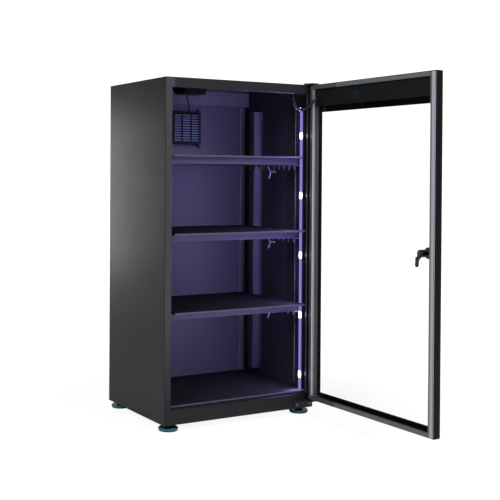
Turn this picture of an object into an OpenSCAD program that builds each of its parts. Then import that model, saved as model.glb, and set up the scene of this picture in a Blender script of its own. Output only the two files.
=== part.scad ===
// Electronic dry cabinet for cameras and lenses: a folded steel body on levelling feet, with pull-out
// shelves on toothed runners, a dehumidifier, a light bar and a glazed door that is shown open.
// Millimetres. X runs along the front, Y from the front to the back, Z up from the floor.

/* [Body] */
// Width of the body
body_w = 450; // [380:1:620]
// Depth of the body, without the door
body_d = 320; // [290:1:480]
// Height of the body, without the feet
body_h = 860; // [840:1:1200]
// Thickness of the steel sheet
sheet = 1.2; // [0.8:0.1:1.6]
// Outer radius of the bends
bend_r = 2.5; // [1.8:0.1:4]
// Width of the front stiles
stile_w = 19; // [14:0.5:22]
// Depth of the edges that turn back into the body
return_d = 6; // [4:0.5:7]
// Height of the top rail
top_rail_h = 25; // [18:1:40]
// Height of the plinth, which holds the nuts of the feet
plinth_h = 38; // [30:1:60]
// Height of the strip along the top of the back wall
rear_rail_h = 40; // [30:1:60]
// How far that strip stands off the back wall
rear_rail_d = 6; // [4:0.5:10]

/* [Feet] */
// Height of the feet under the body
foot_h = 17; // [14:0.5:24]
// Diameter of the foot disc
foot_d = 50; // [36:1:60]
// Distance from the body's edges to the middle of a foot
foot_inset = 25; // [20:1:40]
// Thickness of the rubber pad under a foot
pad_t = 3; // [2:0.5:4]
// Diameter of the threaded stud
stud_d = 8; // [6:1:10]
// Length of stud above the underside of the body
stud_in = 26; // [18:1:28]

/* [Posts] */
// How far a post stands in from the side wall
post_w = 22.5; // [16:0.5:24]
// Depth of a post
post_d = 24; // [18:1:30]
// From the front plane to the front posts
post_front = 26; // [20:1:36]
// From the back plane to the rear posts
post_rear = 46; // [30:1:60]
// Width of the flanges on the wall
post_flange = 10; // [6:1:12]
// Lower end of the posts above the underside of the body
post_low = 60; // [50:1:80]
// Upper end of the posts below the top
post_down = 58; // [45:1:80]
// Diameter of the shelf holes
hole_d = 5.5; // [4:0.1:7]
// Distance between shelf holes
hole_pitch = 24.5; // [24:0.1:25]
// First shelf hole above the underside of the body
hole_first = 91.5; // [80:0.5:100]
// Least distance of the last shelf hole from the upper end of a post
hole_end = 20; // [12:1:24]

/* [Shelves] */
// Height of a tray's turned-down edge
lip_h = 17; // [14:0.5:24]
// Thickness of a tray's sheet
tray_t = 1; // [0.8:0.1:1.5]
// Width of the edge that turns back under a tray
tray_return = 9; // [6:0.5:10]
// From the front plane to the front edge of a tray
tray_front = 28; // [24:1:40]
// From the back plane to the rear edge of a tray
tray_rear = 8; // [7.5:0.5:14]
// Clearance between a tray and the posts
tray_side = 4.3; // [3.6:0.1:6]
// Thickness of the soft mats
mat_t = 5; // [3:0.5:8]
// How far a shelf mat stands out past the tray at each side
mat_over = 1.5; // [0:0.1:1.8]
// Front edges of the shelf mats behind the front plane, top shelf first
mat_fronts = [10, -2, -4];
// How much shorter a shelf mat is than the body is deep
mat_short = 18; // [16:1:40]
// From the front plane to the bottom mat
base_mat_front = 13; // [8:1:20]
// Height of each shelf as a share of the row of holes, top shelf first
shelf_share = [0.82, 0.54, 0.25];

/* [Runners] */
// Thickness of a runner
runner_t = 2; // [1.5:0.1:2.5]
// Width of the ledge that carries a tray
ledge_w = 16; // [12:1:20]
// Height of the runner beside a tray
guide_h = 13; // [12.5:0.5:13.5]
// Clearance between a ledge and its tray
slide_gap = 0.3; // [0.2:0.05:0.5]
// Shelf hole above the underside of its tray
pin_over = 8; // [6:0.5:9]
// Length of a tooth
tooth_h = 12; // [8:0.5:16]
// Width of a tooth at its root
tooth_w = 12; // [10:0.5:12]
// Distance between the teeth
tooth_pitch = 24; // [22:0.5:24]
// Number of teeth along a runner
teeth = 10; // [6:1:10]
// Width of an arm of the three-armed stop
arm_w = 4.5; // [3:0.5:6]
// Thickness of the stop
stop_t = 2; // [1:0.1:2]

/* [Door] */
// Angle at which the door stands open
door_open = 91; // [80:1:100]
// Width of the door's frame members
frame_w = 12; // [12:0.5:16]
// Depth of the door's frame members
frame_d = 14.5; // [13:0.5:18]
// Thickness of the glass
glass_t = 4; // [3:0.5:4]
// Width of the magnetic gasket
gasket_w = 10; // [8:0.5:12]
// How far the gasket stands off the frame
gasket_t = 7.2; // [5:0.1:9]
// From the door's edge to the gasket
gasket_inset = 2.5; // [1.5:0.1:3]
// Gap between the gasket and the body when the door is shut
gasket_gap = 1.2; // [0.8:0.1:1.5]
// From the hinge axis to the door's edge and to its inner face
hinge_in = 6; // [6:0.1:6.5]
// Lower edge of the door above the underside of the body
door_low = 22; // [20:1:36]
// Gap between the door and the top hinge plate
door_gap = 0.8; // [0.5:0.1:1.5]
// Height of the cover over the door's electronics
cover_h = 45; // [44:0.5:60]
// Wall of that cover
cover_t = 2; // [1.5:0.1:2.5]

/* [Hinges] */
// Thickness of the hinge brackets
bracket_t = 3; // [2.5:0.1:4]
// Diameter of the hinge pins
pin_d = 6; // [5:0.5:6]
// Radial clearance of a pin in its bush
pin_gap = 0.05; // [0.03:0.01:0.08]
// Outer diameter of the bushes
bush_d = 9; // [8:0.5:9.5]
// Length of the bushes
bush_l = 14; // [10:1:16]
// Length of the bottom bracket
bracket_w = 60; // [54:1:64]
// Height of the bottom bracket's leaf on the plinth
leaf_h = 21; // [18:0.5:22]
// Length of the top hinge plate
plate_w = 26; // [24:1:30]
// How far the hinge plates reach in front of the body
plate_out = 24; // [22:0.5:28]
// How far the top hinge plate lies on the body
plate_on = 12; // [10:0.5:16]

/* [Lock] */
// From the door's free edge to the axis of the lock
lock_edge = 35; // [34:0.5:45]
// Height of the lock above the underside of the body
lock_z = 442; // [330:1:445]
// Diameter of the lock's barrel
barrel_d = 18; // [16:0.5:20]
// How far the barrel reaches inwards from the hinge axis
barrel_in = 20; // [18:0.5:22]
// Diameter of the lock's nut
nut_d = 27; // [24:0.5:28]
// Diameter of the turning plug
plug_d = 12; // [10:0.5:12]
// Length of the cam from the axis to its tip
cam_l = 31; // [26:0.5:32]
// Width of the cam
cam_w = 10; // [8:0.5:12]
// Thickness of the cam
cam_t = 2.5; // [2:0.1:3]
// How far the cam is cranked inwards
cam_crank = 5; // [2:0.1:6]
// Angle of the cam from straight down towards the hinges
cam_turn = 5; // [0:1:60]

/* [Light] */
// Width of the light bar
bar_w = 12; // [10:0.5:12]
// Depth of the light bar
bar_d = 12.5; // [10:0.5:13]
// Wall of the light bar
bar_t = 1.2; // [1:0.1:1.5]
// Lower end of the light bar above the underside of the body
bar_low = 46; // [45:1:60]
// Upper end of the light bar below the top
bar_down = 63; // [59:1:80]
// Number of lamps on the strip
lamps = 5; // [3:1:5]
// First lamp above the lower end of the light bar
lamp_low = 39; // [30:1:50]
// Last lamp below the upper end of the light bar
lamp_high = 72; // [60:1:90]

/* [Dehumidifier] */
// Width and height of the unit
unit_w = 92; // [84:1:94]
// Depth of the unit
unit_d = 30; // [24:1:34]
// Middle of the unit below the top of the body
unit_down = 108; // [105:1:112]
// Number of louvres
louvres = 11; // [8:1:12]
// Thickness of a louvre
louvre_t = 1.2; // [1:0.1:1.6]
// Width of a louvre
louvre_w = 6; // [5:0.1:7]
// Tilt of the louvres
louvre_tilt = 35; // [25:1:45]
// Wall of the unit's case
case_t = 2; // [1.5:0.1:2.5]

/* [Hidden] */
$fn = 32;
// Overrun of a cut past the face that it opens
cut = 1;

// Planes of the body
half_w = body_w / 2;
front_y = -body_d / 2;
back_y = body_d / 2;
base_z = foot_h;
top_z = foot_h + body_h;
floor_z = base_z + plinth_h + sheet;
wall_x = half_w - sheet;
wall_y = back_y - sheet;
post_face = wall_x - post_w;

// The rails reach into the bends of the stiles, where they are welded flush
rail_half = half_w - stile_w + bend_r;
post_h = body_h - post_low - post_down;
holes = floor((post_h - (hole_first - post_low) - hole_end) / hole_pitch) + 1;
shelf_holes = [for (s = shelf_share) round(s * (holes - 1))];
bar_l = body_h - bar_low - bar_down;
lamp_pitch = (bar_l - lamp_low - lamp_high) / (lamps - 1);
lamp_first = bar_low + lamp_low;

// Clearances that several pieces share
loose = 0.3;
snug = 0.05;

// Fasteners
screw_d = 4;
head_d = 7.5;
head_t = 2;
small_screw_d = 3;
small_head_d = 6;
small_head_t = 1.8;
cross_w = 1;
cross_l = 4;
small_cross_l = 3;
cross_deep = 1;
screw_l = 8;
panel_screw_l = 7;

// Shelves
tray_half = post_face - tray_side;
tray_l = body_d - tray_front - tray_rear;
mat_half = tray_half + mat_over;
function tray_z(n) = base_z + hole_first + shelf_holes[n] * hole_pitch - pin_over;

// Door, drawn shut and turned about the hinge axis
door_z = base_z + door_low;
door_h = body_h - door_low - door_gap;
frame_y = front_y - gasket_gap - gasket_t;
glass_y = frame_y - frame_d;
pivot_x = half_w - hinge_in;
pivot_y = frame_y - hinge_in;
groove_w = 1.2;
groove_deep = 0.8;
groove_share = 0.33;
edge_r = 1;
cover_back = 1;
cover_top = door_z + door_h - frame_w;
cover_face = frame_y - cover_back;
lock_x = -half_w + lock_edge;
lock_height = base_z + lock_z;
cover_screw_in = [62, 64];
cover_screw_down = 19.5;
cover_screw_xs = [-half_w + cover_screw_in[0], half_w - cover_screw_in[1]];
cover_screw_z = cover_top - cover_screw_down;

// Light bar
bar_x = post_face - 2.3;
bar_y = front_y + post_front - bar_d;
strip_w = 8;
strip_t = 1;
lamp_l = 16;
lamp_t = 2;
diffuser_t = 1.5;

// Dehumidifier
unit_mid = top_z - unit_down;
unit_front = wall_y - unit_d;
ear_r = 5;
ear_w = 8;
ear_x = 57;
ear_z = 52.5;
ear_t = 2.5;

// Route of the loom from the ceiling to the door's cover, from the top right corner of the front
loom_d = 8;
loom_points = [[-53.5, 22, -7.2], [-53.33, 21.61, -25], [-52, 18.5, -45], [-47.5, 13, -60],
    [-40.5, 5, -66.5], [-34.5, -5, -65.5], [-30, -16, -59.5], [-27, -25, -52.5],
    [-23.6, -32.3, -44.4], [-17.6, -36.3, -41]];
loom_route = [for (p = loom_points) p + [half_w, front_y, top_z]];

// Route of the dehumidifier's lead, from its case and then from the top of the back wall
lead_d = 4.4;
lead_x = 15;
lead_y = back_y - 17;
lead_points = [[12, -21, -43], [4, -29, -31], [-4, -38, -24], [-6.67, -41.56, -20], [-7, -42, -17]];
lead_route = concat([[lead_x, lead_y, unit_mid + unit_w / 2 - 2], [lead_x, lead_y, unit_mid + unit_w / 2 + 1]],
    [for (p = lead_points) p + [0, back_y, top_z]]);

// Place of number i in a row of n, counted in pitches from the middle
function row(i, n) = i - (n - 1) / 2;

// Flat outlines

module round_rect(w, d, r) {
    translate([r, 0]) square([w - 2 * r, d]);
    translate([0, r]) square([w, d - 2 * r]);
    for (x = [r, w - r], y = [r, d - r]) translate([x, y]) circle(r = r);
}

module ring(w, d, t, r) {
    difference() {
        round_rect(w, d, r);
        translate([t, t]) round_rect(w - 2 * t, d - 2 * t, max(r - t, snug));
    }
}

// An angle of sheet with its bend at the origin and its legs along the two axes
module bent_l(a, b) {
    intersection() {
        square([a, b]);
        ring(2 * a, 2 * b, sheet, bend_r);
    }
}

// Draws a flat outline in the YZ plane, run along X
module along_x(l) {
    rotate([90, 0, 90]) linear_extrude(l) children();
}

// Draws a flat outline in the XZ plane, run towards the front
module to_front(l) {
    rotate([90, 0, 0]) linear_extrude(l) children();
}

// A screw along its own axis, with the underside of its head at the origin and a crossed recess
module screw(d, l, head, head_h, slot_l) {
    difference() {
        union() {
            cylinder(d = head, h = head_h);
            translate([0, 0, -l]) cylinder(d = d, h = l);
        }
        translate([-slot_l / 2, -cross_w / 2, head_h - cross_deep]) cube([slot_l, cross_w, cross_deep + cut]);
        translate([-cross_w / 2, -slot_l / 2, head_h - cross_deep]) cube([cross_w, slot_l, cross_deep + cut]);
    }
}

module small_screw() {
    screw(small_screw_d, panel_screw_l, small_head_d, small_head_t, small_cross_l);
}

// Swept tube along a route

tube_sides = 8;
steps_between = 3;
function unit(v) = v / norm(v);
function route_at(p, i) = p[max(0, min(len(p) - 1, i))];
function spline(a, b, c, d, t) =
    0.5 * (2 * b + (c - a) * t + (2 * a - 5 * b + 4 * c - d) * t * t + (3 * b - a - 3 * c + d) * t * t * t);
function smooth(p) = concat([for (i = [0:len(p) - 2]) for (k = [0:steps_between - 1])
    spline(route_at(p, i - 1), p[i], p[i + 1], route_at(p, i + 2), k / steps_between)], [p[len(p) - 1]]);
function way(p, i) = unit(route_at(p, i + 1) - route_at(p, i - 1));

module tube(route, d, across) {
    p = smooth(route);
    n = len(p);
    points = [for (i = [0:n - 1]) let (t = way(p, i), u = unit(cross(t, across)), v = cross(t, u))
        for (k = [0:tube_sides - 1]) let (g = 360 * k / tube_sides) p[i] + (u * cos(g) + v * sin(g)) * d / 2];
    walls = [for (i = [0:n - 2]) for (k = [0:tube_sides - 1]) let (j = (k + 1) % tube_sides, a = i * tube_sides)
        each [[a + k, a + j, a + j + tube_sides], [a + k, a + j + tube_sides, a + k + tube_sides]]];
    first = [for (k = [tube_sides - 1:-1:0]) k];
    last = [for (k = [0:tube_sides - 1]) (n - 1) * tube_sides + k];
    polyhedron(points, concat([first], walls, [last]));
}

// Body of folded sheet

panel_screw_in = 77;
panel_screw_zs = [base_z + panel_screw_in, base_z + body_h / 2, top_z - panel_screw_in];
panel_screw_x = half_w - stile_w / 2;

module panel_screw_places() {
    for (side = [-1, 1], z = panel_screw_zs)
        translate([side * panel_screw_x, back_y, z]) rotate([-90, 0, 0]) children();
}

module hinge_screw_places() {
    for (x = bottom_screw_xs) translate([x, front_y, base_z + leaf_h / 2]) rotate([90, 0, 0]) children();
    for (x = top_screw_xs) translate([x, front_y + plate_on / 2, top_z]) children();
}

bottom_screw_in = [50, 10];
top_screw_in = [21.5, 8];
bottom_screw_xs = [for (d = bottom_screw_in) half_w - d];
top_screw_xs = [for (d = top_screw_in) half_w - d];

module hinge_screw_holes() {
    hinge_screw_places() translate([0, 0, -screw_l - cut])
        cylinder(d = screw_d, h = screw_l + bracket_t + 2 * cut);
}

// The left side, with its stile and its rear flange in one sheet
module side_sheet() {
    translate([-half_w, front_y, base_z + sheet]) linear_extrude(body_h - 2 * sheet) difference() {
        ring(stile_w, body_d - sheet, sheet, bend_r);
        translate([stile_w / 2, return_d]) square([stile_w, body_d - return_d - 2 * sheet]);
    }
}

module side_sheets() {
    side_sheet();
    mirror([1, 0, 0]) side_sheet();
}

module left_side() {
    color("#2c2c2e") difference() {
        side_sheet();
        panel_screw_places() translate([0, 0, -panel_screw_l]) cylinder(d = small_screw_d, h = panel_screw_l);
    }
}

module right_side() {
    color("#2c2c2e") difference() {
        mirror([1, 0, 0]) side_sheet();
        panel_screw_places() translate([0, 0, -panel_screw_l]) cylinder(d = small_screw_d, h = panel_screw_l);
        hinge_screw_holes();
    }
}

module top_panel() {
    color("#303234") difference() {
        union() {
            translate([-half_w, front_y, top_z - sheet]) linear_extrude(sheet)
                round_rect(body_w, body_d, bend_r);
            translate([-rail_half, front_y, top_z - top_rail_h]) along_x(2 * rail_half)
                bent_l(return_d, top_rail_h - sheet);
        }
        side_sheets();
        hinge_screw_holes();
    }
}

module back_panel() {
    color("#29292b") difference() {
        translate([-half_w + bend_r, wall_y, base_z + sheet])
            cube([body_w - 2 * bend_r, sheet, body_h - 2 * sheet]);
        panel_screw_places() translate([0, 0, -sheet - cut]) cylinder(d = small_screw_d, h = sheet + 2 * cut);
        vent_slots();
        unit_screw_places() translate([0, 0, -panel_screw_l]) cylinder(d = small_screw_d, h = panel_screw_l);
        translate([inlet_x, back_y + cut, inlet_z]) to_front(sheet + 2 * cut)
            square([inlet_w, inlet_h], center = true);
    }
}

// Slots behind the dehumidifier, through which it breathes out
vent_w = 60;
vent_h = 3;
vent_pitch = 9;
vents = 6;
module vent_slots() {
    for (i = [0:vents - 1])
        translate([-vent_w / 2, wall_y - cut, unit_mid + row(i, vents) * vent_pitch - vent_h / 2])
            cube([vent_w, sheet + 2 * cut, vent_h]);
}

module base_pan() {
    color("#2a2a2c") difference() {
        union() {
            translate([-half_w, front_y, base_z]) linear_extrude(sheet) round_rect(body_w, body_d, bend_r);
            translate([-rail_half, front_y, base_z + plinth_h]) mirror([0, 0, 1])
                along_x(2 * rail_half) bent_l(return_d, plinth_h - sheet);
        }
        side_sheets();
        foot_places() translate([0, 0, base_z - cut]) cylinder(d = stud_d + 2 * pin_gap, h = sheet + 2 * cut);
        hinge_screw_holes();
    }
}

module floor_panel() {
    color("#26262a") {
        translate([-wall_x + snug, front_y + return_d + loose, base_z + plinth_h])
            cube([2 * wall_x - 2 * snug, body_d - return_d - loose - 2 * sheet - snug, sheet]);
        translate([-half_w + stile_w, front_y + bend_r, base_z + plinth_h])
            cube([body_w - 2 * stile_w, return_d, sheet]);
    }
}

module rear_top_rail() {
    color("#3a3646") translate([-wall_x, wall_y - sheet - rear_rail_d, top_z - sheet - rear_rail_h])
        along_x(2 * wall_x) bent_l(rear_rail_d, rear_rail_h);
}

// A post of hat section, drawn for the right side from the face that carries the holes
module post(y) {
    color("#454255") translate([post_face, y, base_z + post_low]) difference() {
        linear_extrude(post_h) {
            intersection() {
                square([post_w, post_d]);
                ring(2 * post_w, post_d, sheet, bend_r);
            }
            for (f = [sheet - post_flange, post_d - sheet])
                translate([post_w - sheet, f]) square([sheet, post_flange]);
        }
        for (i = [0:holes - 1]) translate([-cut, post_d / 2, hole_first - post_low + i * hole_pitch])
            rotate([0, 90, 0]) cylinder(d = hole_d, h = sheet + 2 * cut);
    }
}

front_post_y = front_y + post_front;
rear_post_y = back_y - post_rear - post_d;
module post_front_left() { mirror([1, 0, 0]) post(front_post_y); }
module post_front_right() { post(front_post_y); }
module post_rear_left() { mirror([1, 0, 0]) post(rear_post_y); }
module post_rear_right() { post(rear_post_y); }

// Light bar in front of the right front post

module led_channel() {
    color("#8d8da5") translate([bar_x, bar_y, base_z + bar_low]) linear_extrude(bar_l) difference() {
        square([bar_w, bar_d]);
        translate([-cut, bar_t]) square([bar_w - bar_t + cut, bar_d - 2 * bar_t]);
    }
}

module led_strip() {
    strip_x = bar_x + bar_w - bar_t - strip_t;
    mid = bar_y + bar_d / 2;
    color("white") {
        translate([strip_x, mid - strip_w / 2, base_z + bar_low]) cube([strip_t, strip_w, bar_l]);
        for (i = [0:lamps - 1])
            translate([strip_x - lamp_t, mid - strip_w / 2, base_z + lamp_first + i * lamp_pitch - lamp_l / 2])
                cube([lamp_t, strip_w, lamp_l]);
    }
}

module led_diffuser() {
    color("#b9b4ff") translate([bar_x, bar_y + bar_t, base_z + bar_low])
        cube([diffuser_t, bar_d - 2 * bar_t, bar_l]);
}

// Dehumidifier on the back wall

module unit_screw_places() {
    for (x = [-ear_x, ear_x], z = [-ear_z, ear_z])
        translate([x, wall_y - ear_t, unit_mid + z]) rotate([90, 0, 0]) children();
}

// The case sits on a back plate with an ear past each corner
slot_pitch = 8;
side_slot = 3;
side_slots = 10;
module unit_case() {
    inner = unit_w - 2 * case_t;
    ear_back = [ear_x, ear_z] - [unit_w, unit_w] / 2;
    color("#1d1d22") difference() {
        union() {
            translate([-unit_w / 2, wall_y, unit_mid - unit_w / 2]) to_front(unit_d) square(unit_w);
            unit_screw_places() translate([0, 0, -ear_t]) cylinder(r = ear_r, h = ear_t);
            for (x = [-1, 1], z = [-1, 1]) translate([x * ear_x, wall_y, unit_mid + z * ear_z]) to_front(ear_t)
                rotate(atan2(-z * ear_back[1], -x * ear_back[0]))
                    translate([0, -ear_w / 2]) square([norm(ear_back) + ear_r, ear_w]);
        }
        translate([-inner / 2, wall_y - case_t, unit_mid - inner / 2]) to_front(unit_d) square(inner);
        for (i = [0:vents - 1])
            translate([-vent_w / 2, wall_y - case_t - cut, unit_mid + row(i, vents) * vent_pitch - vent_h / 2])
                cube([vent_w, case_t + 2 * cut, vent_h]);
        for (i = [0:side_slots - 1])
            translate([-unit_w / 2 - cut, unit_front + 2 * case_t, unit_mid + row(i, side_slots) * slot_pitch])
                cube([unit_w + 2 * cut, side_slot, side_slot]);
        unit_screw_places() translate([0, 0, -ear_t - cut]) cylinder(d = small_screw_d, h = ear_t + 2 * cut);
        translate([lead_x, lead_y, unit_mid + inner / 2 - cut])
            cylinder(d = lead_d + 2 * loose, h = case_t + 2 * cut);
    }
}

// Louvred front, whose slanting blades cross two mullions
mullions_share = [-1 / 6, 1 / 6];
mullion_w = 5;
rim_w = 5;
module unit_grille() {
    size = unit_w - 2 * case_t - 2 * snug;
    blade_l = size - rim_w;
    pitch = (size - 2 * rim_w) / louvres;
    color("#5d6a86") {
        translate([-size / 2, unit_front + louvre_w, unit_mid - size / 2]) to_front(louvre_w) difference() {
            square(size);
            translate([rim_w, rim_w]) square(size - 2 * rim_w);
        }
        for (s = mullions_share)
            translate([s * size - mullion_w / 2, unit_front + case_t, unit_mid - size / 2 + rim_w / 2])
                cube([mullion_w, louvre_t, size - rim_w]);
        for (i = [0:louvres - 1])
            translate([-blade_l / 2, unit_front + louvre_w / 2, unit_mid + row(i, louvres) * pitch])
                rotate([louvre_tilt, 0, 0]) translate([0, -louvre_w / 2, -louvre_t / 2])
                    cube([blade_l, louvre_w - louvre_t, louvre_t]);
    }
}

// Desiccant block with its heater plate behind it
core_w = 70;
core_d = 14;
heater_w = 60;
heater_t = 3;
module dryer_core() {
    color("#c9c2b2") {
        translate([-core_w / 2, wall_y - case_t - heater_t - core_d, unit_mid - core_w / 2])
            cube([core_w, core_d, core_w]);
        translate([-heater_w / 2, wall_y - case_t - heater_t, unit_mid - heater_w / 2])
            cube([heater_w, heater_t, heater_w]);
    }
}

module panel_screws() {
    color("#6f7076") {
        panel_screw_places() small_screw();
        unit_screw_places() screw(small_screw_d, ear_t + sheet, small_head_d, small_head_t, small_cross_l);
    }
}

module unit_lead() {
    color("#17171a") tube(lead_route, lead_d, [0, 1, 0.4]);
}

// Supply box on the ceiling, over which the leads run
box_left = 45;
box_front = 95;
box_at = [-box_left, back_y - box_front];
box_size = [74, 60];
box_h = 15.8;
module ceiling_box() {
    low = top_z - sheet - box_h;
    color("#141416") translate([box_at[0], box_at[1], low]) {
        translate([0, 0, box_h / 2]) linear_extrude(box_h / 2) round_rect(box_size[0], box_size[1], bend_r);
        translate([bend_r, bend_r, 0]) linear_extrude(box_h / 2)
            round_rect(box_size[0] - 2 * bend_r, box_size[1] - 2 * bend_r, bend_r);
    }
}

// Low-voltage inlet in the back wall, with its round contact
inlet_x = 150;
inlet_down = 22;
inlet_z = top_z - inlet_down;
inlet_w = 14;
inlet_h = 11;
inlet_in = 5;
inlet_rim = 3;
inlet_rim_t = 2;
jack_d = 6.4;
jack_deep = 5;
jack_pin_d = 2;
module power_inlet() {
    color("#101012") translate([inlet_x, back_y, inlet_z]) {
        difference() {
            union() {
                to_front(inlet_in) square([inlet_w, inlet_h], center = true);
                translate([0, inlet_rim_t, 0]) to_front(inlet_rim_t)
                    square([inlet_w + 2 * inlet_rim, inlet_h + 2 * inlet_rim], center = true);
            }
            translate([0, inlet_rim_t + cut, 0]) to_front(jack_deep + cut) circle(d = jack_d);
        }
        translate([0, inlet_rim_t - cut, 0]) to_front(jack_deep - cut) circle(d = jack_pin_d);
    }
}

module base_mat() {
    color("#1c1a26") translate([-wall_x + cut, front_y + base_mat_front, floor_z])
        cube([2 * (wall_x - cut), body_d - base_mat_front - 2 * sheet - cut, mat_t]);
}

// Hinge brackets with their pins

module top_hinge_bracket() {
    color("#2b2c2f") difference() {
        union() {
            translate([half_w - plate_w, front_y - plate_out, top_z]) linear_extrude(bracket_t)
                round_rect(plate_w, plate_out + plate_on, bend_r);
            translate([pivot_x, pivot_y, top_z - door_gap - bush_l + cut])
                cylinder(d = pin_d, h = door_gap + bush_l);
        }
        hinge_screw_holes();
    }
}

module bottom_hinge_bracket() {
    color("#2b2c2f") difference() {
        union() {
            translate([half_w - bracket_w, front_y, base_z]) to_front(bracket_t)
                round_rect(bracket_w, leaf_h, bend_r);
            translate([half_w - bracket_w, front_y - plate_out, base_z + leaf_h - bracket_t])
                linear_extrude(bracket_t) difference() {
                    round_rect(bracket_w, plate_out, bend_r);
                    translate([0, plate_out - bracket_t / 2]) square([bracket_w, bracket_t]);
                }
            translate([pivot_x, pivot_y, base_z + leaf_h - cut]) cylinder(d = pin_d, h = bush_l);
        }
        hinge_screw_holes();
    }
}

module hinge_screws() {
    color("#8a8578") hinge_screw_places() translate([0, 0, bracket_t])
        screw(screw_d, screw_l, head_d, head_t, cross_l);
}

grommet_d = 14;
grommet_t = top_z - sheet - loom_route[0][2];
module loom_grommet() {
    color("#0f0f10") translate(loom_route[0]) cylinder(d = grommet_d, h = grommet_t);
}

// Feet

module foot_place(x, y) {
    translate([x * (half_w - foot_inset), y * (back_y - foot_inset), 0]) children();
}

module foot_places() {
    for (x = [-1, 1], y = [-1, 1]) foot_place(x, y) children();
}

weld_nut_d = 15;
weld_nut_t = 8;
module foot_nuts() {
    color("#9a9a9c") foot_places() translate([0, 0, base_z + sheet]) difference() {
        cylinder(d = weld_nut_d, h = weld_nut_t, $fn = 6);
        translate([0, 0, -cut]) cylinder(d = stud_d + 2 * pin_gap, h = weld_nut_t + 2 * cut);
    }
}

disc_t = 5;
disc_rim = 1.5;
stem_d = 22;
stem_top_d = 16;
module foot_disc(x, y) {
    r = foot_d / 2;
    color("#2a8a9c") foot_place(x, y) rotate_extrude($fn = 64)
        polygon([[0, 0], [r - disc_rim, 0], [r - disc_rim, pad_t], [r, pad_t], [r, pad_t + disc_t - disc_rim],
            [r - disc_rim, pad_t + disc_t], [r - 2 * disc_rim, pad_t + disc_t],
            [stem_d / 2, pad_t + disc_t - disc_rim], [0, pad_t + disc_t - disc_rim]]);
}

collar_t = 2;
module foot_stem(x, y) {
    low = pad_t + disc_t - disc_rim;
    top = base_z - loose;
    color("#141415") foot_place(x, y) rotate_extrude($fn = 48)
        polygon([[0, low], [stem_d / 2, low], [stem_d / 2, low + collar_t], [stem_top_d / 2, top - collar_t],
            [stem_top_d / 2, top], [stud_d / 2, top], [stud_d / 2, base_z + stud_in], [0, base_z + stud_in]]);
}

module foot_disc_fl() { foot_disc(-1, -1); }
module foot_stem_fl() { foot_stem(-1, -1); }
module foot_disc_fr() { foot_disc(1, -1); }
module foot_stem_fr() { foot_stem(1, -1); }
module foot_disc_bl() { foot_disc(-1, 1); }
module foot_stem_bl() { foot_stem(-1, 1); }
module foot_disc_br() { foot_disc(1, 1); }
module foot_stem_br() { foot_stem(1, 1); }

// Shelves: a toothed runner at each side, with a three-armed stop, a tray and a mat

runner_l = body_d - post_front - post_rear;
runner_pin_d = hole_d - 2 * snug;
runner_pin_l = sheet + cut;

module runner(n) {
    z = tray_z(n);
    ledge_z = z - slide_gap - runner_t;
    color("#25242e") {
        translate([post_face - runner_t, front_post_y, ledge_z])
            cube([runner_t, runner_l, guide_h + slide_gap + runner_t]);
        translate([post_face - ledge_w, front_post_y, ledge_z]) cube([ledge_w, runner_l, runner_t]);
        for (i = [0:teeth - 1]) translate([post_face - runner_t, row(i, teeth) * tooth_pitch, ledge_z])
            along_x(runner_t) polygon([[-tooth_w / 2, 0], [0, -tooth_h], [tooth_w / 2, 0], [0, runner_t]]);
        for (y = [front_post_y, rear_post_y]) translate([post_face, y + post_d / 2, z + pin_over])
            rotate([0, 90, 0]) cylinder(d = runner_pin_d, h = runner_pin_l);
    }
}

module runner_pair(n) {
    runner(n);
    mirror([1, 0, 0]) runner(n);
}

module shelf_runners_1() { runner_pair(0); }
module shelf_runners_2() { runner_pair(1); }
module shelf_runners_3() { runner_pair(2); }

// Arms as angle and length, seen from the left, with 0 towards the back
stop_arms = [[45, 27.6], [180, 21.6], [-65, 18.8]];
stop_down = 18.2;
module shelf_stop(n) {
    x = post_face - runner_t - stop_t;
    z = tray_z(n) - slide_gap - stop_down;
    color("#c8c6dc") intersection() {
        translate([x, 0, z]) along_x(stop_t) for (arm = stop_arms) rotate(arm[0]) {
            circle(d = arm_w);
            translate([0, -arm_w / 2]) square([arm[1], arm_w]);
            translate([arm[1], 0]) circle(d = arm_w);
        }
        translate([x - cut, -body_d / 2, z - body_d])
            cube([stop_t + 2 * cut, body_d, body_d + stop_down - runner_t]);
    }
}

module shelf_stops() {
    for (n = [0:len(shelf_holes) - 1]) {
        shelf_stop(n);
        mirror([1, 0, 0]) shelf_stop(n);
    }
}

module shelf_tray(n) {
    inner = tray_half - tray_t;
    mouth = tray_half - tray_return;
    color("#57508a") translate([0, front_y + tray_front, tray_z(n)]) difference() {
        translate([-tray_half, 0, 0]) linear_extrude(lip_h) round_rect(2 * tray_half, tray_l, bend_r);
        translate([-inner, tray_t, tray_t]) cube([2 * inner, tray_l - 2 * tray_t, lip_h - 2 * tray_t]);
        translate([-mouth, tray_return, -cut]) cube([2 * mouth, tray_l - 2 * tray_return, tray_t + 2 * cut]);
    }
}

module shelf_mat(n) {
    color("#1c1a26") translate([-mat_half, front_y + mat_fronts[n], tray_z(n) + lip_h])
        cube([2 * mat_half, body_d - mat_short, mat_t]);
}

module shelf_tray_1() { shelf_tray(0); }
module shelf_mat_1() { shelf_mat(0); }
module shelf_tray_2() { shelf_tray(1); }
module shelf_mat_2() { shelf_mat(1); }
module shelf_tray_3() { shelf_tray(2); }
module shelf_mat_3() { shelf_mat(2); }

// Door, drawn shut inside this turn about the hinge axis

module swung() {
    translate([pivot_x, pivot_y, 0]) rotate([0, 0, door_open]) translate([-pivot_x, -pivot_y, 0]) children();
}

module door_ring(inset, w, r) {
    translate([-half_w + inset, door_z + inset]) ring(body_w - 2 * inset, door_h - 2 * inset, w, r);
}

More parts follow.
